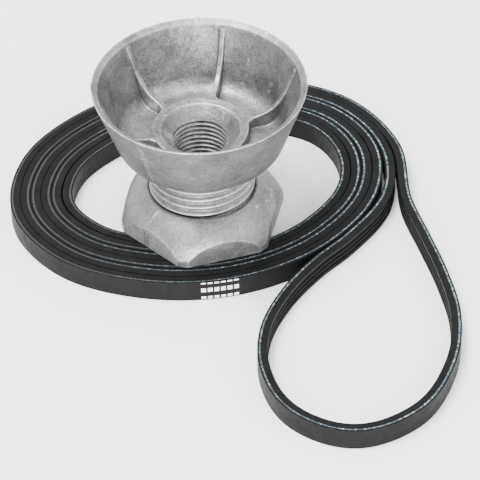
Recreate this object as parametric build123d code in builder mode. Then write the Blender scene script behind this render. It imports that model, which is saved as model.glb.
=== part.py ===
"""Drive hub and lock nut standing on a coiled multi-rib belt.

Millimetres, +Z up.  The belt lies on the plane z = 0 and the origin is the middle of
the whole layout seen from above.  Positions below are given from the hub axis.
Six solids: the cast hub, its lock nut, and the four bonded layers of the belt.
"""
import os
from math import atan2, cos, hypot, radians, sin, sqrt, tan

from build123d import *

os.makedirs("parts", exist_ok=True)

# ---- driving dimensions ---------------------------------------------------------------
BELT_WIDTH = 6.5            # four ribs of a 1.6 mm pitch belt, standing on edge
BELT_THICKNESS = 2.8
COVER_THICKNESS = 0.45
CORD_THICKNESS = 0.5
CUSHION_THICKNESS = 0.35
RIB_PITCH = 1.6
RIB_COUNT = 4
GROOVE_DEPTH = 1.1
GROOVE_WIDTH = 1.1

RIM_RADIUS = 29.0
HUB_HEIGHT = 46.1           # from the nut's underside to the rim
NECK_RADIUS = 14.65         # over the thread crests
THREAD_PITCH = 2.5
THREAD_DEPTH = 1.0
BORE_RADIUS = 7.2           # M16 x 1.5 thread, at its minor diameter
RIB_ANGLE = 15.0            # first casting rib, from +X
RIB_THICKNESS = 1.4

NUT_FLATS = 41.4            # across flats
NUT_HEIGHT = 11.2
NUT_CLEARANCE = 0.07        # radial, over the thread crests

HUB_BASE = BELT_WIDTH       # the nut rests on the belt's upper edge
HUB_AXIS = Vector(-6.9, 12.6)
NECK_RECESS = 0.5           # the neck stops this far above the nut's underside


# ---- belt route -----------------------------------------------------------------------
# The closed belt is doubled and coiled, so two arms run round an oval side by side.
# Each arm is a list of depths inside that oval, one every 30 degrees.  Where two backs
# or two ribbed faces meet, the depths differ by a little more than a belt thickness.
OVAL_CENTRE = (1.6, 15.9)
OVAL_HALF_LENGTH = 56.3
OVAL_HALF_WIDTH = 43.4
OVAL_TILT = radians(13)
STEP = 30

OUTER_ARM_START = 0
OUTER_ARM = [
    1.4, 1.4, 1.4, 1.4, 1.4, 1.4, 1.4, 1.4, 1.4, 1.4, 3.8, 6.4,
    7.7, 7.2, 7.2, 7.3, 7.2, 7.2, 7.2, 7.4, 7.6, 7.6, 9.8, 12.4,
    13.9, 13.0, 13.0, 13.1, 13.0, 13.0, 13.0, 13.4, 13.8,
]
INNER_ARM_START = -30
INNER_ARM = [
    2.5,
    4.6, 4.3, 4.3, 4.3, 4.3, 4.3, 4.3, 4.4, 4.5, 4.5, 6.8, 9.4,
    10.8, 10.1, 10.1, 10.2, 10.1, 10.1, 10.1, 10.4, 10.6, 10.6, 12.8, 15.4,
    17.0, 15.9, 15.9, 16.0, 16.0, 16.1, 16.2, 16.6, 17.2,
]

# Points on the centre line where the belt leaves the oval.  The inner bend joins the two
# arms under the nut and the loop joins them outside the coil.
INNER_BEND = [
    (-8.9, -10.3), (-4.9, -7.0), (-3.8, -0.5), (-3.6, 10.5), (0.6, 15.0), (4.8, 10.5),
    (4.8, 3.2), (4.4, -4.5), (1.6, -11.2), (-3.8, -14.3), (-9.4, -14.2),
]
LOOP = [
    (57.2, 2.5), (61.0, -12.5), (64.4, -27.0), (66.4, -43.0), (63.3, -61.5),
    (52.9, -77.8), (36.7, -84.0), (21.4, -76.3), (14.6, -59.5), (15.5, -46.5),
    (21.6, -32.6), (30.9, -20.2), (40.1, -10.9),
]


def coil_point(angle, depth):
    """Point a given depth inside the oval, at an angle around it in degrees."""
    turn = radians(angle)
    x = OVAL_HALF_LENGTH * cos(turn)
    y = OVAL_HALF_WIDTH * sin(turn)
    slope = hypot(cos(turn) / OVAL_HALF_LENGTH, sin(turn) / OVAL_HALF_WIDTH)
    x -= depth * cos(turn) / OVAL_HALF_LENGTH / slope
    y -= depth * sin(turn) / OVAL_HALF_WIDTH / slope
    return Vector(
        OVAL_CENTRE[0] + x * cos(OVAL_TILT) - y * sin(OVAL_TILT),
        OVAL_CENTRE[1] + x * sin(OVAL_TILT) + y * cos(OVAL_TILT),
    )


def turns(start, depths):
    return [coil_point(start + STEP * count, depth) for count, depth in enumerate(depths)]


def route_points():
    """The closed centre line: inner arm, inner bend, outer arm backwards, loop."""
    points = turns(INNER_ARM_START, INNER_ARM)
    points += [Vector(x, y) for x, y in INNER_BEND]
    points += reversed(turns(OUTER_ARM_START, OUTER_ARM))
    points += [Vector(x, y) for x, y in LOOP]
    return [HUB_AXIS + point for point in points]


def heading(before, here, after):
    """Direction through a point, weighted towards its nearer neighbour."""
    back = here - before
    ahead = after - here
    return (back * (1 / back.dot(back)) + ahead * (1 / ahead.dot(ahead))).normalized()


def arc_middle(start, direction, end):
    """Middle point of the arc that leaves start in a direction and reaches end."""
    chord = end - start
    side = Vector(-chord.Y, chord.X)
    lead = atan2(chord.X * direction.Y - chord.Y * direction.X, chord.dot(direction))
    return (start + end) * 0.5 + side * (tan(lead / 2) / 2)


def arc_pair(start, start_heading, end, end_heading):
    """Two arcs that join two points and keep the heading smooth throughout."""
    gap = end - start
    along = gap.dot(start_heading + end_heading)
    bend = 2 * (1 - start_heading.dot(end_heading))
    reach = gap.dot(gap) / (along + sqrt(along ** 2 + bend * gap.dot(gap)))
    first_corner = start + start_heading * reach
    last_corner = end - end_heading * reach
    meeting = (first_corner + last_corner) * 0.5
    meeting_heading = (last_corner - first_corner).normalized()
    return [
        (start, arc_middle(start, start_heading, meeting), meeting),
        (meeting, arc_middle(meeting, meeting_heading, end), end),
    ]


def route_arcs():
    points = route_points()
    count = len(points)
    headings = [
        heading(points[index - 1], points[index], points[(index + 1) % count])
        for index in range(count)
    ]
    arcs = []
    for index in range(count):
        after = (index + 1) % count
        arcs += arc_pair(points[index], headings[index], points[after], headings[after])
    return arcs, points[0], headings[0]


ROUTE, ROUTE_START, ROUTE_HEADING = route_arcs()

# The section is drawn across the route at its first point: x runs from the smooth
# back towards the ribs and y runs up the belt's width.
SECTION_PLANE = Plane(
    origin=ROUTE_START,
    x_dir=Vector(ROUTE_HEADING.Y, -ROUTE_HEADING.X),
    z_dir=ROUTE_HEADING.reverse(),
)
BACK = -BELT_THICKNESS / 2
CORD_START = BACK + COVER_THICKNESS
CUSHION_START = CORD_START + CORD_THICKNESS
RUBBER_START = CUSHION_START + CUSHION_THICKNESS
FRONT = BELT_THICKNESS / 2


def plain_layer(near, far):
    """Corners of a layer with flat faces."""
    return [(near, 0), (far, 0), (far, BELT_WIDTH), (near, BELT_WIDTH)]


def ribbed_layer(near, far):
    """Corners of the rib layer, with a V groove between neighbouring ribs."""
    corners = [(near, 0), (far, 0)]
    for groove in range(1, RIB_COUNT):
        middle = BELT_WIDTH / 2 + (groove - RIB_COUNT / 2) * RIB_PITCH
        corners += [
            (far, middle - GROOVE_WIDTH / 2),
            (far - GROOVE_DEPTH, middle),
            (far, middle + GROOVE_WIDTH / 2),
        ]
    return corners + [(far, BELT_WIDTH), (near, BELT_WIDTH)]


def belt_layer(corners):
    with BuildPart() as layer:
        with BuildLine() as route:
            for start, middle, end in ROUTE:
                ThreePointArc(start, middle, end)
        with BuildSketch(SECTION_PLANE):
            with BuildLine():
                Polyline(*corners, close=True)
            make_face()
        sweep(path=route.wire())
    return layer.part


# ---- belt -----------------------------------------------------------------------------
# Smooth rubber cover on the belt's back.
belt_back_cover = belt_layer(plain_layer(BACK, CORD_START))
belt_back_cover.label = "belt_back_cover"
export_step(belt_back_cover, "parts/belt_back_cover.step")

# The wound tension cords, as one ribbon.
belt_tension_cords = belt_layer(plain_layer(CORD_START, CUSHION_START))
belt_tension_cords.label = "belt_tension_cords"
export_step(belt_tension_cords, "parts/belt_tension_cords.step")

# Cushion rubber that bonds the cords to the ribs.
belt_cushion = belt_layer(plain_layer(CUSHION_START, RUBBER_START))
belt_cushion.label = "belt_cushion"
export_step(belt_cushion, "parts/belt_cushion.step")

# Rib rubber with its V grooves.
belt_rib_rubber = belt_layer(ribbed_layer(RUBBER_START, FRONT))
belt_rib_rubber.label = "belt_rib_rubber"
export_step(belt_rib_rubber, "parts/belt_rib_rubber.step")

# ---- hub ------------------------------------------------------------------------------
# Heights in this block are measured from the nut's underside.
LIP_RADIUS = 27.2
LIP_DROP = 1.0
CONE_FOOT = (23.2, 28.9)
NECK_TOP = 23.2
SHOULDER = (20.0, 25.5)
SHOULDER_MIDDLE = (22.0, 26.8)
FLOOR = 27.5
FLOOR_FILLET = 5.0
BOSS_RADIUS = 13.1
BOSS_TOP = 30.8
SINK_RADIUS = 10.8
SINK_DROP = 0.4
THREAD_ROOT = NECK_RADIUS - THREAD_DEPTH

cone_slope = (RIM_RADIUS - CONE_FOOT[0]) / (HUB_HEIGHT - CONE_FOOT[1])
wall_foot = LIP_RADIUS - (HUB_HEIGHT - LIP_DROP - FLOOR) * cone_slope
sink_top = BOSS_TOP - SINK_DROP
sink_bottom = sink_top - (SINK_RADIUS - BORE_RADIUS)

with BuildPart() as hub_casting:
    # Bell, boss and neck turned about the axis.
    with BuildSketch(Plane.XZ):
        with BuildLine():
            Polyline(
                (BORE_RADIUS, NECK_RECESS),
                (THREAD_ROOT, NECK_RECESS),
                (THREAD_ROOT, NECK_TOP),
                (NECK_RADIUS, NECK_TOP),
                SHOULDER,
            )
            ThreePointArc(SHOULDER, SHOULDER_MIDDLE, CONE_FOOT)
            Polyline(
                CONE_FOOT,
                (RIM_RADIUS, HUB_HEIGHT),
                (LIP_RADIUS, HUB_HEIGHT - LIP_DROP),
            )
            FilletPolyline(
                (LIP_RADIUS, HUB_HEIGHT - LIP_DROP),
                (wall_foot, FLOOR),
                (BOSS_RADIUS, FLOOR),
                radius=FLOOR_FILLET,
            )
            Polyline(
                (BOSS_RADIUS, FLOOR),
                (BOSS_RADIUS, BOSS_TOP),
                (SINK_RADIUS, sink_top),
                (BORE_RADIUS, sink_bottom),
                (BORE_RADIUS, NECK_RECESS),
            )
        make_face()
    revolve(axis=Axis.Z)

    # Six casting ribs between the boss and the wall, each buried in both.
    with BuildSketch(Plane.XZ):
        with BuildLine():
            Polyline(
                (26.6, 44.3),
                (25.0, 40.5),
                (23.9, 37.5),
                (22.3, 34.9),
                (20.4, 32.9),
                (18.2, 31.7),
                (15.5, 31.0),
                (12.0, BOSS_TOP - 0.1),
                (12.0, FLOOR - 1),
                (21.5, FLOOR - 1),
                (27.8, 44.3),
                close=True,
            )
        make_face()
    rib = extrude(amount=RIB_THICKNESS / 2, both=True, mode=Mode.PRIVATE)
    for spoke in range(6):
        add(rib.rotate(Axis.Z, RIB_ANGLE + 60 * spoke))

    # Right-hand thread around the neck, one pitch clear of both ends.
    thread_start = NECK_RECESS + 0.8 * THREAD_PITCH
    thread_length = NECK_TOP - 0.8 * THREAD_PITCH - thread_start
    with BuildLine() as helix:
        Helix(pitch=THREAD_PITCH, height=thread_length, radius=THREAD_ROOT)
    with BuildSketch(Plane(origin=(THREAD_ROOT, 0, 0), x_dir=(1, 0, 0), z_dir=(0, -1, 0))):
        with BuildLine():
            Polyline(
                (-0.2, -0.44 * THREAD_PITCH),
                (THREAD_DEPTH, -0.1 * THREAD_PITCH),
                (THREAD_DEPTH, 0.1 * THREAD_PITCH),
                (-0.2, 0.44 * THREAD_PITCH),
                close=True,
            )
        make_face()
    ridge = sweep(path=helix.line, is_frenet=True, mode=Mode.PRIVATE)
    add(ridge.translate((0, 0, thread_start)))

hub_casting.part = hub_casting.part.translate(HUB_AXIS + Vector(0, 0, HUB_BASE))
hub_casting.part.label = "hub_casting"
export_step(hub_casting.part, "parts/hub_casting.step")

# ---- lock nut -------------------------------------------------------------------------
NUT_BORE = NECK_RADIUS + NUT_CLEARANCE
NUT_TOP_RADIUS = 15.6
NUT_DOME_MIDDLE = (20.1, 7.4)
NUT_CORNER_RADIUS = 23.1    # the hexagon's corners are turned off
NUT_CORNER_HEIGHT = 2.2
NUT_LIP = 0.4               # chamfer at the bore's mouth
hexagon_radius = NUT_FLATS / 2 / cos(radians(30))

with BuildPart() as lock_nut:
    # A turned dome, cut to a hexagon, which leaves an arch over each flat.
    with BuildSketch(Plane.XZ):
        with BuildLine():
            Polyline((0, NUT_HEIGHT), (0, 0), (NUT_CORNER_RADIUS, 0))
            Line((NUT_CORNER_RADIUS, 0), (NUT_CORNER_RADIUS, NUT_CORNER_HEIGHT))
            ThreePointArc(
                (NUT_CORNER_RADIUS, NUT_CORNER_HEIGHT),
                NUT_DOME_MIDDLE,
                (NUT_TOP_RADIUS, NUT_HEIGHT),
            )
            Line((NUT_TOP_RADIUS, NUT_HEIGHT), (0, NUT_HEIGHT))
        make_face()
    revolve(axis=Axis.Z)
    with BuildSketch(Plane.XY):
        RegularPolygon(radius=hexagon_radius, side_count=6, rotation=RIB_ANGLE)
    extrude(amount=NUT_HEIGHT, mode=Mode.INTERSECT)
    with BuildSketch(Plane.XY):
        Circle(NUT_BORE)
    extrude(amount=NUT_HEIGHT, mode=Mode.SUBTRACT)
    mouth = lock_nut.edges().filter_by(GeomType.CIRCLE).filter_by_position(
        Axis.Z, NUT_HEIGHT - 0.01, NUT_HEIGHT + 0.01
    )
    chamfer(mouth.sort_by(SortBy.RADIUS)[0], NUT_LIP)

lock_nut.part = lock_nut.part.translate(HUB_AXIS + Vector(0, 0, HUB_BASE))
lock_nut.part.label = "lock_nut"
export_step(lock_nut.part, "parts/lock_nut.step")
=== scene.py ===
"""Looks of the cast hub, its lock nut and the coiled multi-rib belt.

Metres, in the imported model's frame.  Measures that read better in millimetres are
written as a number times MM.
"""

from math import asin, cos, hypot, pi, radians, sin, tau

import bpy
from mathutils import Matrix, Vector


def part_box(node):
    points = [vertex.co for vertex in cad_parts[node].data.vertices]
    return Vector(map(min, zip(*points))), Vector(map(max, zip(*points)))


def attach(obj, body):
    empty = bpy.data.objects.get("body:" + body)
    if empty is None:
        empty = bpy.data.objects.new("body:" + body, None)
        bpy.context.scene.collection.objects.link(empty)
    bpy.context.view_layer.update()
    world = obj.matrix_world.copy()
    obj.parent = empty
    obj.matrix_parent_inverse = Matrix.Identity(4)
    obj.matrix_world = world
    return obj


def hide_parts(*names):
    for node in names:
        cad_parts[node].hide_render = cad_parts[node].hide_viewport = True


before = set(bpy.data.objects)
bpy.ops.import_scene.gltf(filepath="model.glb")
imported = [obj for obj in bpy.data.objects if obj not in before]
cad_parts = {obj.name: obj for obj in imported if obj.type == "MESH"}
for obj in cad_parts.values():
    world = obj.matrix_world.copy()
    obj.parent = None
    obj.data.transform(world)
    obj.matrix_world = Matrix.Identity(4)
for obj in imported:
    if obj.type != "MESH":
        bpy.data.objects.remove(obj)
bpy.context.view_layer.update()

MM = 0.001
scene = bpy.context.scene

# ---- places read from the frame ---------------------------------------------------------
hub_low, hub_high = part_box("hub_casting")
nut_low, nut_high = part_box("lock_nut")
HUB_X = (hub_low.x + hub_high.x) / 2
HUB_Y = (hub_low.y + hub_high.y) / 2
BELT_WIDTH = nut_low.z
HUB_BASE = BELT_WIDTH       # heights on the hub and nut are measured from here


# ---- materials --------------------------------------------------------------------------
MIX_FIRST = 6               # a colour mix node's colour inputs and output, by place
MIX_SECOND = 7
MIX_RESULT = 2

CORD_DIRTY_X = -45 * MM     # the cord shows dark to the left of here
CORD_CLEAN_X = 40 * MM      # and clean to the right of here
UNDERSIDE_SHADE_DOWN = -0.35           # how far down a face looks, for the darkest painted shade


def material(name, color, roughness, metallic=0.0):
    """A principled material, with its node tree and its shader node."""
    made = bpy.data.materials.new(name)
    made.use_nodes = True
    tree = made.node_tree
    shader = tree.nodes["Principled BSDF"]
    shader.inputs["Base Color"].default_value = (*color, 1)
    shader.inputs["Roughness"].default_value = roughness
    shader.inputs["Metallic"].default_value = metallic
    return made, tree, shader


def noise(tree, scale, detail=4.0, rough=0.55):
    """Noise in object space, so it stays on the piece when the piece moves."""
    where = tree.nodes.new("ShaderNodeTexCoord")
    node = tree.nodes.new("ShaderNodeTexNoise")
    node.inputs["Scale"].default_value = scale
    node.inputs["Detail"].default_value = detail
    node.inputs["Roughness"].default_value = rough
    tree.links.new(where.outputs["Object"], node.inputs["Vector"])
    return node.outputs["Fac"]


def ramp(tree, source, stops):
    """Maps a value to colours or greys; stops are (position, colour)."""
    node = tree.nodes.new("ShaderNodeValToRGB")
    elements = node.color_ramp.elements
    while len(elements) < len(stops):
        elements.new(0.5)
    for element, (position, color) in zip(elements, stops):
        element.position = position
        element.color = (*color, 1)
    tree.links.new(source, node.inputs["Fac"])
    return node.outputs["Color"]


def grey(value):
    return (value, value, value)


def bump(tree, shader, layers):
    """Chains height sources into the shader's normal; layers are (source, distance)."""
    last = None
    for source, distance in layers:
        node = tree.nodes.new("ShaderNodeBump")
        node.inputs["Distance"].default_value = distance
        node.inputs["Strength"].default_value = 1.0
        tree.links.new(source, node.inputs["Height"])
        if last is not None:
            tree.links.new(last, node.inputs["Normal"])
        last = node.outputs["Normal"]
    tree.links.new(last, shader.inputs["Normal"])


def multiplied(tree, first, second):
    """The product of two colours."""
    mix = tree.nodes.new("ShaderNodeMix")
    mix.data_type = "RGBA"
    mix.blend_type = "MULTIPLY"
    mix.inputs["Factor"].default_value = 1.0
    tree.links.new(first, mix.inputs[MIX_FIRST])
    tree.links.new(second, mix.inputs[MIX_SECOND])
    return mix.outputs[MIX_RESULT]


def edge_wear_highlight_and_crease_shade(tree):
    """Brighter on sharp edges, as edge wear and painted highlight; darker in corners, as
    painted shade.
    """
    form = tree.nodes.new("ShaderNodeNewGeometry")
    stops = [(0.47, grey(0.7)), (0.5, grey(1.0)), (0.53, grey(1.8))]
    return ramp(tree, form.outputs["Pointiness"], stops)


def painted_underside_shade(tree):
    """Faces that look down are painted darker: painted shade on the undersides."""
    where = tree.nodes.new("ShaderNodeTexCoord")
    parts = tree.nodes.new("ShaderNodeSeparateXYZ")
    tree.links.new(where.outputs["Normal"], parts.inputs["Vector"])
    share = tree.nodes.new("ShaderNodeMapRange")
    share.inputs["From Min"].default_value = UNDERSIDE_SHADE_DOWN
    share.inputs["From Max"].default_value = 0.0
    tree.links.new(parts.outputs["Z"], share.inputs["Value"])
    return ramp(tree, share.outputs["Result"], [(0.0, grey(0.5)), (1.0, grey(1.0))])


def cast_metal(name, dark, low, high, grain):
    """Die-cast aluminium, tumbled: soft clouds, dark pits and a bright fine grain.

    The clouds run from low to high, and dark is the share of light that a pit keeps.
    """
    made, tree, shader = material(name, grey(high), 0.42, metallic=0.78)
    clouds = noise(tree, 140, detail=8, rough=0.7)
    base = ramp(tree, clouds, [(0.32, grey(low)), (0.68, grey(high))])
    speckle = noise(tree, 2000, detail=5, rough=0.75)
    pits = ramp(tree, speckle, [(0.36, grey(dark)), (0.47, grey(0.92)), (0.66, grey(1.12))])
    # painted highlight and edge wear on sharp edges, painted shade in corners
    color = multiplied(tree, multiplied(tree, base, pits), edge_wear_highlight_and_crease_shade(tree))
    # painted shade: faces that look down are made darker
    color = multiplied(tree, color, painted_underside_shade(tree))
    tree.links.new(color, shader.inputs["Base Color"])
    patches = noise(tree, 420, detail=6, rough=0.7)
    rough = ramp(tree, patches, [(0.3, grey(0.30)), (0.7, grey(0.50))])
    tree.links.new(rough, shader.inputs["Roughness"])
    coarse = noise(tree, 620, detail=4)
    fine = noise(tree, 2600, detail=3, rough=0.7)
    bump(tree, shader, [(coarse, 0.2 * MM * grain), (fine, 0.06 * MM * grain)])
    return made


def rubber(name, low, high, roughness, grain):
    """Black rubber with a little dust in its texture."""
    made, tree, shader = material(name, grey(high), roughness)
    shader.inputs["Specular IOR Level"].default_value = 0.1
    dust = noise(tree, 260, detail=6, rough=0.7)
    color = ramp(tree, dust, [(0.35, (low, low, low * 1.05)), (0.7, (high, high, high * 1.05))])
    tree.links.new(color, shader.inputs["Base Color"])
    shine = noise(tree, 500, detail=4)
    rough = ramp(tree, shine, [(0.3, grey(roughness - 0.07)), (0.7, grey(roughness + 0.07))])
    tree.links.new(rough, shader.inputs["Roughness"])
    weave = noise(tree, 3000, detail=2)
    bump(tree, shader, [(weave, 0.05 * MM * grain)])
    return made


def cord_fibre():
    """Cut ends of the wound cord: blue-white flecks, cleaner towards the free loop."""
    made, tree, shader = material("belt_cord", (0.2, 0.3, 0.38), 0.6)
    flecks = noise(tree, 1100, detail=4, rough=0.75)
    bright = ramp(
        tree,
        flecks,
        [(0.38, (0.01, 0.012, 0.014)), (0.52, (0.05, 0.08, 0.1)), (0.66, (0.42, 0.5, 0.55))],
    )
    where = tree.nodes.new("ShaderNodeTexCoord")
    parts = tree.nodes.new("ShaderNodeSeparateXYZ")
    tree.links.new(where.outputs["Object"], parts.inputs["Vector"])
    share = tree.nodes.new("ShaderNodeMapRange")
    share.inputs["From Min"].default_value = CORD_DIRTY_X
    share.inputs["From Max"].default_value = CORD_CLEAN_X
    share.inputs["To Min"].default_value = 0.06
    share.inputs["To Max"].default_value = 1.0
    tree.links.new(parts.outputs["X"], share.inputs["Value"])
    mix = tree.nodes.new("ShaderNodeMix")
    mix.data_type = "RGBA"
    mix.inputs[MIX_FIRST].default_value = (0.012, 0.013, 0.014, 1)
    tree.links.new(share.outputs["Result"], mix.inputs["Factor"])
    tree.links.new(bright, mix.inputs[MIX_SECOND])
    tree.links.new(mix.outputs[MIX_RESULT], shader.inputs["Base Color"])
    bump(tree, shader, [(flecks, 0.15 * MM)])
    return made


def print_white():
    """Worn white ink."""
    made, tree, shader = material("print_white", grey(0.8), 0.55)
    wear = noise(tree, 2200, detail=4, rough=0.7)
    color = ramp(tree, wear, [(0.3, grey(0.35)), (0.48, grey(0.82))])
    tree.links.new(color, shader.inputs["Base Color"])
    return made


CAST = cast_metal("hub_metal", 0.4, 0.14, 0.33, 1.0)
NUT_METAL = cast_metal("nut_metal", 0.5, 0.16, 0.30, 0.9)
COVER = rubber("belt_cover", 0.004, 0.008, 0.55, 0.6)
CUSHION = rubber("belt_cushion_rubber", 0.003, 0.007, 0.6, 1.0)
RIBS = rubber("belt_ribs", 0.003, 0.007, 0.6, 1.0)
CORD = cord_fibre()
INK = print_white()


# ---- mesh helpers -----------------------------------------------------------------------
def mesh_object(name, points, faces, surface, smooth=True):
    """A mesh piece with one material, linked into the scene."""
    mesh = bpy.data.meshes.new(name)
    mesh.from_pydata([tuple(point) for point in points], [], faces)
    mesh.validate()
    made = bpy.data.objects.new(name, mesh)
    scene.collection.objects.link(made)
    mesh.materials.append(surface)
    for face in mesh.polygons:
        face.use_smooth = smooth
    return made


def ring_faces(rings, across, closed_rings, closed_across):
    """Quads between successive rings of points, each ring having the same count."""
    faces = []
    last_ring = rings if closed_rings else rings - 1
    last_across = across if closed_across else across - 1
    for ring in range(last_ring):
        here = ring * across
        after = (ring + 1) % rings * across
        for place in range(last_across):
            beside = (place + 1) % across
            faces.append((here + place, here + beside, after + beside, after + place))
    return faces


# ---- cast pieces ------------------------------------------------------------------------
ROUND_STEPS = 72            # straight pieces in one turn of a thread cutter or ring
CUTTER_INSET = 0.3 * MM     # a cutter starts this far inside the wall it cuts
BORE_CREST = 7.2 * MM
BORE_ROOT = 8.0 * MM
BORE_PITCH = 1.5 * MM
BORE_LOW = HUB_BASE - 1.0 * MM
BORE_HIGH = HUB_BASE + 27.5 * MM
CELL = 0.22 * MM

RIB_ANGLE = radians(15)
RIB_THICKNESS = 1.4 * MM
BOSS_RADIUS = 13.1 * MM
FILLET_RADIUS = 2.6 * MM
FILLET_STEPS = 8
FILLET_BURIED = 1.2 * MM    # how far a fillet reaches into the boss
FILLET_LOW = HUB_BASE + 27.0 * MM
FILLET_HIGH = HUB_BASE + 30.75 * MM

LIP_INSIDE = 14.7 * MM
LIP_OUTSIDE = 15.9 * MM
NUT_INSIDE = 16.2 * MM
NUT_FLAT_REACH = 20.8 * MM
MOULD_ANGLE = radians(221)
MOULD_WIDTH = 0.5 * MM
MOULD_PROUD = 0.22 * MM


def spoke_point(out, aside, turn):
    """A point out from the hub's axis along a direction, and aside to its left."""
    x = HUB_X + out * cos(turn) - aside * sin(turn)
    y = HUB_Y + out * sin(turn) + aside * cos(turn)
    return x, y


def thread_cutter(name, root, crest, pitch, low, high):
    """A helical V, from just inside a round wall of radius crest out to root.

    Its half height stays under half a pitch, so that its turns don't meet.
    """
    steps = int((high - low) / pitch * ROUND_STEPS)
    inside = crest - CUTTER_INSET
    mouth = 0.49 * pitch
    flat = 0.06 * pitch
    section = [(inside, -mouth), (root, -flat), (root, flat), (inside, mouth)]
    points = []
    for step in range(steps + 1):
        angle = tau * step / ROUND_STEPS
        rise = low + pitch * step / ROUND_STEPS
        for reach, offset in section:
            points.append((*spoke_point(reach, 0, angle), rise + offset))
    corners = len(section)
    faces = [tuple(reversed(face)) for face in ring_faces(steps + 1, corners, False, True)]
    faces.append(tuple(range(corners)))
    faces.append(tuple(reversed(range(steps * corners, (steps + 1) * corners))))
    return mesh_object(name, points, faces, CAST)


def shape(piece, tool, operation):
    """Cuts the tool out of the piece, or joins it on, for good; then removes the tool."""
    step = piece.modifiers.new("step", "BOOLEAN")
    step.operation = operation
    step.solver = "EXACT"
    step.object = tool
    bpy.context.view_layer.update()
    shaped = piece.evaluated_get(bpy.context.evaluated_depsgraph_get())
    result = bpy.data.meshes.new_from_object(shaped)
    piece.modifiers.clear()
    piece.data = result
    bpy.data.objects.remove(tool)


def soften(piece, cell, passes):
    """Rounds every edge as a casting's are: remesh finely, then relax the surface."""
    remesh = piece.modifiers.new("remesh", "REMESH")
    remesh.mode = "VOXEL"
    remesh.voxel_size = cell
    remesh.use_smooth_shade = True
    relax = piece.modifiers.new("relax", "CORRECTIVE_SMOOTH")
    relax.iterations = passes
    relax.smooth_type = "SIMPLE"
    relax.use_only_smooth = True


def casting(node, name, body, surface, joined, cutters, passes):
    """A softened copy of a CAD node, with details joined on and cutters taken out."""
    copy = bpy.data.objects.new(name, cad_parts[node].data.copy())
    scene.collection.objects.link(copy)
    for detail in joined:
        shape(copy, detail, "UNION")
    for cutter in cutters:
        shape(copy, cutter, "DIFFERENCE")
    copy.data.materials.clear()
    copy.data.materials.append(surface)
    soften(copy, CELL, passes)
    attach(copy, body)
    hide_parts(node)


def prism(outline, low, high):
    """Points and faces of an upright prism over an outline in x and y."""
    count = len(outline)
    points = [(x, y, low) for x, y in outline]
    points += [(x, y, high) for x, y in outline]
    faces = ring_faces(2, count, False, True)
    faces.append(tuple(reversed(range(count))))
    faces.append(tuple(range(count, 2 * count)))
    return points, faces


def fillet_outline():
    """One fillet seen along the axis, as (out, aside) beside a rib: flats, then an arc."""
    side = RIB_THICKNESS / 2
    middle_aside = side + FILLET_RADIUS
    reach = BOSS_RADIUS + FILLET_RADIUS
    middle_out = (reach ** 2 - middle_aside ** 2) ** 0.5
    start = -pi / 2
    end = asin(middle_aside / reach) - pi
    inside = BOSS_RADIUS - FILLET_BURIED
    buried = side - 0.5 * MM
    outline = [(inside, buried), (middle_out, buried)]
    for step in range(FILLET_STEPS + 1):
        angle = start + (end - start) * step / FILLET_STEPS
        out = middle_out + FILLET_RADIUS * cos(angle)
        aside = middle_aside + FILLET_RADIUS * sin(angle)
        outline.append((out, aside))
    outline.append((inside, outline[-1][1]))
    return outline


def rib_fillets(name):
    """Rounded corners where the bell's ribs run into its boss."""
    outline = fillet_outline()
    points = []
    faces = []
    for rib in range(6):
        turn = RIB_ANGLE + rib * tau / 6
        for hand in (1, -1):
            seen = [spoke_point(out, hand * aside, turn) for out, aside in outline]
            corners, sides = prism(seen, FILLET_LOW, FILLET_HIGH)
            if hand < 0:
                sides = [tuple(reversed(face)) for face in sides]
            first = len(points)
            points += corners
            faces += [tuple(first + corner for corner in face) for face in sides]
    return mesh_object(name, points, faces, CAST)


def mould_line(name):
    """The faint raised line that the mould's joint left up one side of the nut.

    Its profile follows the nut's flat and dome, a little proud of both.
    """
    proud = MOULD_PROUD
    profile = [
        (NUT_INSIDE, 0.3 * MM),
        (NUT_FLAT_REACH + proud, 0.3 * MM),
        (NUT_FLAT_REACH + proud, 4.6 * MM + proud),
        (19.8 * MM, 7.7 * MM + proud),
        (17.8 * MM, 9.8 * MM + proud),
        (NUT_INSIDE, 11.0 * MM),
    ]
    points = []
    for hand in (1, -1):
        for reach, rise in profile:
            x, y = spoke_point(reach, hand * MOULD_WIDTH / 2, MOULD_ANGLE)
            points.append((x, y, nut_low.z + rise))
    count = len(profile)
    faces = ring_faces(2, count, False, True)
    faces.append(tuple(reversed(range(count))))
    faces.append(tuple(range(count, 2 * count)))
    return mesh_object(name, points, faces, NUT_METAL)


def bore_lip(name):
    """A ring that keeps the nut's bore close round the neck, up to its top face."""
    section = [
        (LIP_INSIDE, nut_high.z - 1.0 * MM),
        (LIP_OUTSIDE, nut_high.z - 1.0 * MM),
        (LIP_OUTSIDE, nut_high.z - 0.2 * MM),
        (LIP_INSIDE, nut_high.z - 0.05 * MM),
    ]
    points = []
    for step in range(ROUND_STEPS):
        angle = tau * step / ROUND_STEPS
        for reach, rise in section:
            points.append((*spoke_point(reach, 0, angle), rise))
    faces = ring_faces(ROUND_STEPS, len(section), True, True)
    faces = [tuple(reversed(face)) for face in faces]
    return mesh_object(name, points, faces, NUT_METAL)


bore_thread = thread_cutter(
    "bore_thread", BORE_ROOT, BORE_CREST, BORE_PITCH, BORE_LOW, BORE_HIGH
)
fillets = rib_fillets("rib_fillets")
seam = mould_line("mould_line")
lip = bore_lip("bore_lip")
casting("hub_casting", "hub_cast_surface", "hub", CAST, [fillets], [bore_thread], 3)
casting("lock_nut", "nut_cast_surface", "nut", NUT_METAL, [seam, lip], [], 3)


# ---- belt -------------------------------------------------------------------------------
# The belt's closed centre line, in millimetres from the hub's axis.  The belt is doubled
# and coiled, so two arms run round an oval side by side; each is a list of depths inside
# that oval, one every 30 degrees.
OVAL_CENTRE = (1.6, 15.9)
OVAL_HALF_LENGTH = 56.3
OVAL_HALF_WIDTH = 43.4
OVAL_TILT = radians(13)
STEP = 30

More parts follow.
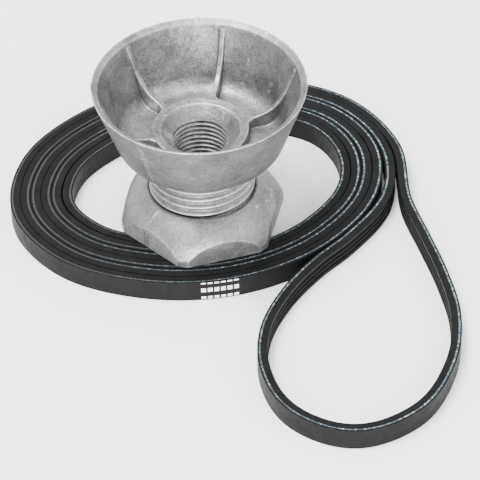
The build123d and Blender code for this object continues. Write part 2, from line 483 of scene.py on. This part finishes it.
OUTER_ARM_START = 0
OUTER_ARM = [
    1.4, 1.4, 1.4, 1.4, 1.4, 1.4, 1.4, 1.4, 1.4, 1.4, 3.8, 6.4,
    7.7, 7.2, 7.2, 7.3, 7.2, 7.2, 7.2, 7.4, 7.6, 7.6, 9.8, 12.4,
    13.9, 13.0, 13.0, 13.1, 13.0, 13.0, 13.0, 13.4, 13.8,
]
INNER_ARM_START = -30
INNER_ARM = [
    2.5,
    4.6, 4.3, 4.3, 4.3, 4.3, 4.3, 4.3, 4.4, 4.5, 4.5, 6.8, 9.4,
    10.8, 10.1, 10.1, 10.2, 10.1, 10.1, 10.1, 10.4, 10.6, 10.6, 12.8, 15.4,
    17.0, 15.9, 15.9, 16.0, 16.0, 16.1, 16.2, 16.6, 17.2,
]

# Points where the belt leaves the oval: the inner bend joins the two arms under the nut
# and the loop joins them outside the coil.
INNER_BEND = [
    (-8.9, -10.3), (-4.9, -7.0), (-3.8, -0.5), (-3.6, 10.5), (0.6, 15.0), (4.8, 10.5),
    (4.8, 3.2), (4.4, -4.5), (1.6, -11.2), (-3.8, -14.3), (-9.4, -14.2),
]
LOOP = [
    (57.2, 2.5), (61.0, -12.5), (64.4, -27.0), (66.4, -43.0), (63.3, -61.5),
    (52.9, -77.8), (36.7, -84.0), (21.4, -76.3), (14.6, -59.5), (15.5, -46.5),
    (21.6, -32.6), (30.9, -20.2), (40.1, -10.9),
]


def coil_point(angle, depth):
    """Point a given depth inside the oval, at an angle around it in degrees."""
    turn = radians(angle)
    x = OVAL_HALF_LENGTH * cos(turn)
    y = OVAL_HALF_WIDTH * sin(turn)
    slope = hypot(cos(turn) / OVAL_HALF_LENGTH, sin(turn) / OVAL_HALF_WIDTH)
    x -= depth * cos(turn) / OVAL_HALF_LENGTH / slope
    y -= depth * sin(turn) / OVAL_HALF_WIDTH / slope
    return (
        OVAL_CENTRE[0] + x * cos(OVAL_TILT) - y * sin(OVAL_TILT),
        OVAL_CENTRE[1] + x * sin(OVAL_TILT) + y * cos(OVAL_TILT),
    )


def turns(start, depths):
    """Points round the oval, one for each depth."""
    return [coil_point(start + STEP * count, depth) for count, depth in enumerate(depths)]


def route_stations():
    """The closed centre line: inner arm, inner bend, outer arm backwards, loop."""
    stations = turns(INNER_ARM_START, INNER_ARM) + INNER_BEND
    stations += reversed(turns(OUTER_ARM_START, OUTER_ARM))
    stations += LOOP
    return [Vector((x * MM + HUB_X, y * MM + HUB_Y, 0)) for x, y in stations]


def heading(before, here, after):
    """Direction through a point, weighted towards its nearer neighbour."""
    back = here - before
    ahead = after - here
    return (back / back.length_squared + ahead / ahead.length_squared).normalized()


def route_samples(spacing):
    """(point, heading, distance) at even steps along a smooth closed curve."""
    points = route_stations()
    count = len(points)
    headings = [
        heading(points[index - 1], points[index], points[(index + 1) % count])
        for index in range(count)
    ]
    samples = []
    travelled = 0.0
    for index in range(count):
        after = (index + 1) % count
        start = points[index]
        end = points[after]
        gap = (end - start).length
        parts = max(2, round(gap / spacing))
        for part in range(parts):
            t = part / parts
            end_share = 3 * t ** 2 - 2 * t ** 3
            place = start * (1 - end_share) + end * end_share
            place += headings[index] * gap * (t ** 3 - 2 * t ** 2 + t)
            place += headings[after] * gap * (t ** 3 - t ** 2)
            if samples:
                travelled += (place - samples[-1][0]).length
            samples.append((place, travelled))
    total = len(samples)
    result = []
    for index, (place, travelled) in enumerate(samples):
        along = (samples[(index + 1) % total][0] - samples[index - 1][0]).normalized()
        result.append((place, along, travelled))
    return result


THICKNESS = 2.8 * MM
COVER_THICKNESS = 0.45 * MM
CORD_THICKNESS = 0.5 * MM
CUSHION_THICKNESS = 0.35 * MM
RIB_PITCH = 1.6 * MM
RIB_COUNT = 4
GROOVE_DEPTH = 1.1 * MM
GROOVE_WIDTH = 1.1 * MM
ROUND = 0.12 * MM
CORD_RECESS = 0.12 * MM     # the cord lies this far below the belt's edges

BACK = -THICKNESS / 2
CORD_START = BACK + COVER_THICKNESS
CUSHION_START = CORD_START + CORD_THICKNESS
RUBBER_START = CUSHION_START + CUSHION_THICKNESS
FRONT = THICKNESS / 2
SAMPLES = route_samples((0.8) * MM)

# The print is on the outermost strand's back, in front of the hub.
PRINT_FROM = -2.5 * MM
PRINT_TO = 9.5 * MM
PRINT_BEYOND = -25.5 * MM
PRINT_MARKS = 6
PRINT_SHARE = 0.72          # how much of its place each dash fills
INK_PROUD = 0.03 * MM
INK_BURIED = 0.1 * MM
PRINT_ROWS = [(0.4 * MM, 1.3 * MM), (2.9 * MM, 4.3 * MM), (5.8 * MM, 6.3 * MM)]


def placed(sample, across, up):
    """A point of the section at a sample: across from the centre line, up the width."""
    place, along, travelled = sample
    right = Vector((along.y, -along.x, 0))
    return place + right * across + Vector((0, 0, up))


def rounded(near, far, low, high, near_round, far_round):
    """Section corners of a layer, with the chosen sides' corners cut round."""
    return [
        (near + near_round, low),
        (far - far_round, low),
        (far, low + far_round),
        (far, high - far_round),
        (far - far_round, high),
        (near + near_round, high),
        (near, high - near_round),
        (near, low + near_round),
    ]


def ribbed(near, far):
    """Section corners of the rib layer, with rounded edges and V grooves."""
    corners = [(near, 0), (far - ROUND, 0), (far, ROUND)]
    for groove in range(1, RIB_COUNT):
        middle = BELT_WIDTH / 2 + (groove - RIB_COUNT / 2) * RIB_PITCH
        corners += [
            (far, middle - GROOVE_WIDTH / 2 - ROUND / 2),
            (far - ROUND / 2, middle - GROOVE_WIDTH / 2),
            (far - GROOVE_DEPTH, middle - ROUND / 2),
            (far - GROOVE_DEPTH, middle + ROUND / 2),
            (far - ROUND / 2, middle + GROOVE_WIDTH / 2),
            (far, middle + GROOVE_WIDTH / 2 + ROUND / 2),
        ]
    return corners + [(far, BELT_WIDTH - ROUND), (far - ROUND, BELT_WIDTH), (near, BELT_WIDTH)]


def belt_layer(node, name, corners, surface):
    """Carries a section along the whole route, in place of a CAD node."""
    points = [placed(sample, across, up) for sample in SAMPLES for across, up in corners]
    faces = ring_faces(len(SAMPLES), len(corners), True, True)
    layer = mesh_object(name, points, faces, surface)
    layer.data.set_sharp_from_angle(angle=radians(35))
    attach(layer, "belt")
    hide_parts(node)


def build_belt():
    """The belt's four bonded layers, from its smooth back to its ribs."""
    high = BELT_WIDTH
    cord_high = high - CORD_RECESS
    cover = rounded(BACK, CORD_START, 0, high, ROUND, 0)
    cords = rounded(CORD_START, CUSHION_START, CORD_RECESS, cord_high, 0, 0)
    cushion = rounded(CUSHION_START, RUBBER_START, 0, high, 0, 0)
    belt_layer("belt_back_cover", "belt_back_skin", cover, COVER)
    belt_layer("belt_tension_cords", "belt_cord_ribbon", cords, CORD)
    belt_layer("belt_cushion", "belt_cushion_skin", cushion, CUSHION)
    belt_layer("belt_rib_rubber", "belt_rib_skin", ribbed(RUBBER_START, FRONT), RIBS)


def between(distance):
    """A sample at any distance along the belt, between its two neighbours."""
    after = next(index for index, sample in enumerate(SAMPLES) if sample[2] > distance)
    near = SAMPLES[after - 1]
    far = SAMPLES[after]
    part = (distance - near[2]) / (far[2] - near[2])
    place = near[0].lerp(far[0], part)
    along = near[1].lerp(far[1], part).normalized()
    return place, along, distance


def print_marks():
    """Three rows of plain white dashes where the belt's back carries its print."""
    printed = [
        travelled
        for place, along, travelled in SAMPLES
        if PRINT_FROM < place.x - HUB_X < PRINT_TO and place.y - HUB_Y < PRINT_BEYOND
    ]
    first = min(printed)
    last = max(printed)
    pitch = (last - first) / PRINT_MARKS
    points = []
    faces = []
    box_faces = [
        (0, 1, 3, 2), (4, 6, 7, 5), (0, 4, 5, 1), (2, 3, 7, 6), (0, 2, 6, 4), (1, 5, 7, 3),
    ]
    for low, high in PRINT_ROWS:
        for mark in range(PRINT_MARKS):
            start = first + pitch * mark
            end = start + pitch * PRINT_SHARE
            base = len(points)
            for distance in (start, end):
                for across in (BACK - INK_PROUD, BACK + INK_BURIED):
                    for up in (low, high):
                        points.append(placed(between(distance), across, up))
            faces += [tuple(base + corner for corner in face) for face in box_faces]
    marks = mesh_object("belt_print", points, faces, INK, smooth=False)
    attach(marks, "belt")


build_belt()
print_marks()


# ---- camera, light and floor ------------------------------------------------------------
CAMERA_BACK = 545.5 * MM
CAMERA_UP = 491.2 * MM
CAMERA_AIM = Vector((10.0 * MM, -4.6 * MM, 0))
CAMERA_ROLL = radians(1.1)
CAMERA_LENS = 196.9         # a long lens, on a 36 mm wide sensor
FLOOR_REACH = 4.0


def add_camera():
    """Looks down at the hub from the front, from the photograph's angle."""
    data = bpy.data.cameras.new("camera")
    data.lens = CAMERA_LENS
    data.sensor_width = 36
    data.clip_start = 0.01
    camera = bpy.data.objects.new("camera", data)
    scene.collection.objects.link(camera)
    axis = Vector((HUB_X, HUB_Y, 0))
    camera.location = axis + Vector((0, -CAMERA_BACK, CAMERA_UP))
    look = (axis + CAMERA_AIM - camera.location).to_track_quat("-Z", "Y")
    turn = Matrix.Rotation(-CAMERA_ROLL, 4, "Z")
    camera.rotation_euler = (look.to_matrix().to_4x4() @ turn).to_euler()
    scene.camera = camera


def add_floor():
    """A plain white floor, far wider than the view."""
    reach = FLOOR_REACH
    corners = [(-reach, -reach, 0), (reach, -reach, 0), (reach, reach, 0), (-reach, reach, 0)]
    surface, tree, shader = material("floor_white", grey(0.97), 0.9)
    cloud = noise(tree, 3, detail=2)
    color = ramp(tree, cloud, [(0.3, grey(0.96)), (0.7, grey(0.98))])
    tree.links.new(color, shader.inputs["Base Color"])
    floor = mesh_object("floor", corners, [(0, 1, 2, 3)], surface, smooth=False)


def add_light(name, place, size, power):
    """A soft round light, aimed at the middle of the nut and hub."""
    data = bpy.data.lights.new(name, "AREA")
    data.shape = "DISK"
    data.size = size
    data.energy = power
    light = bpy.data.objects.new(name, data)
    light.location = place
    aim = Vector((HUB_X, HUB_Y, 20 * MM)) - Vector(place)
    light.rotation_euler = aim.to_track_quat("-Z", "Y").to_euler()
    scene.collection.objects.link(light)


def add_world(strength):
    """Even white light from all round."""
    world = bpy.data.worlds.new("world")
    world.use_nodes = True
    sky = world.node_tree.nodes["Background"]
    sky.inputs["Color"].default_value = (1, 1, 1, 1)
    sky.inputs["Strength"].default_value = strength
    scene.world = world


add_camera()
add_floor()
add_world(1.8)
add_light("key", (-0.25, -0.1, 1.0), 0.5, 24)
add_light("fill", (0.8, -0.6, 0.7), 0.7, 5)
add_light("front", (-0.1, -0.9, 0.16), 0.4, 14)
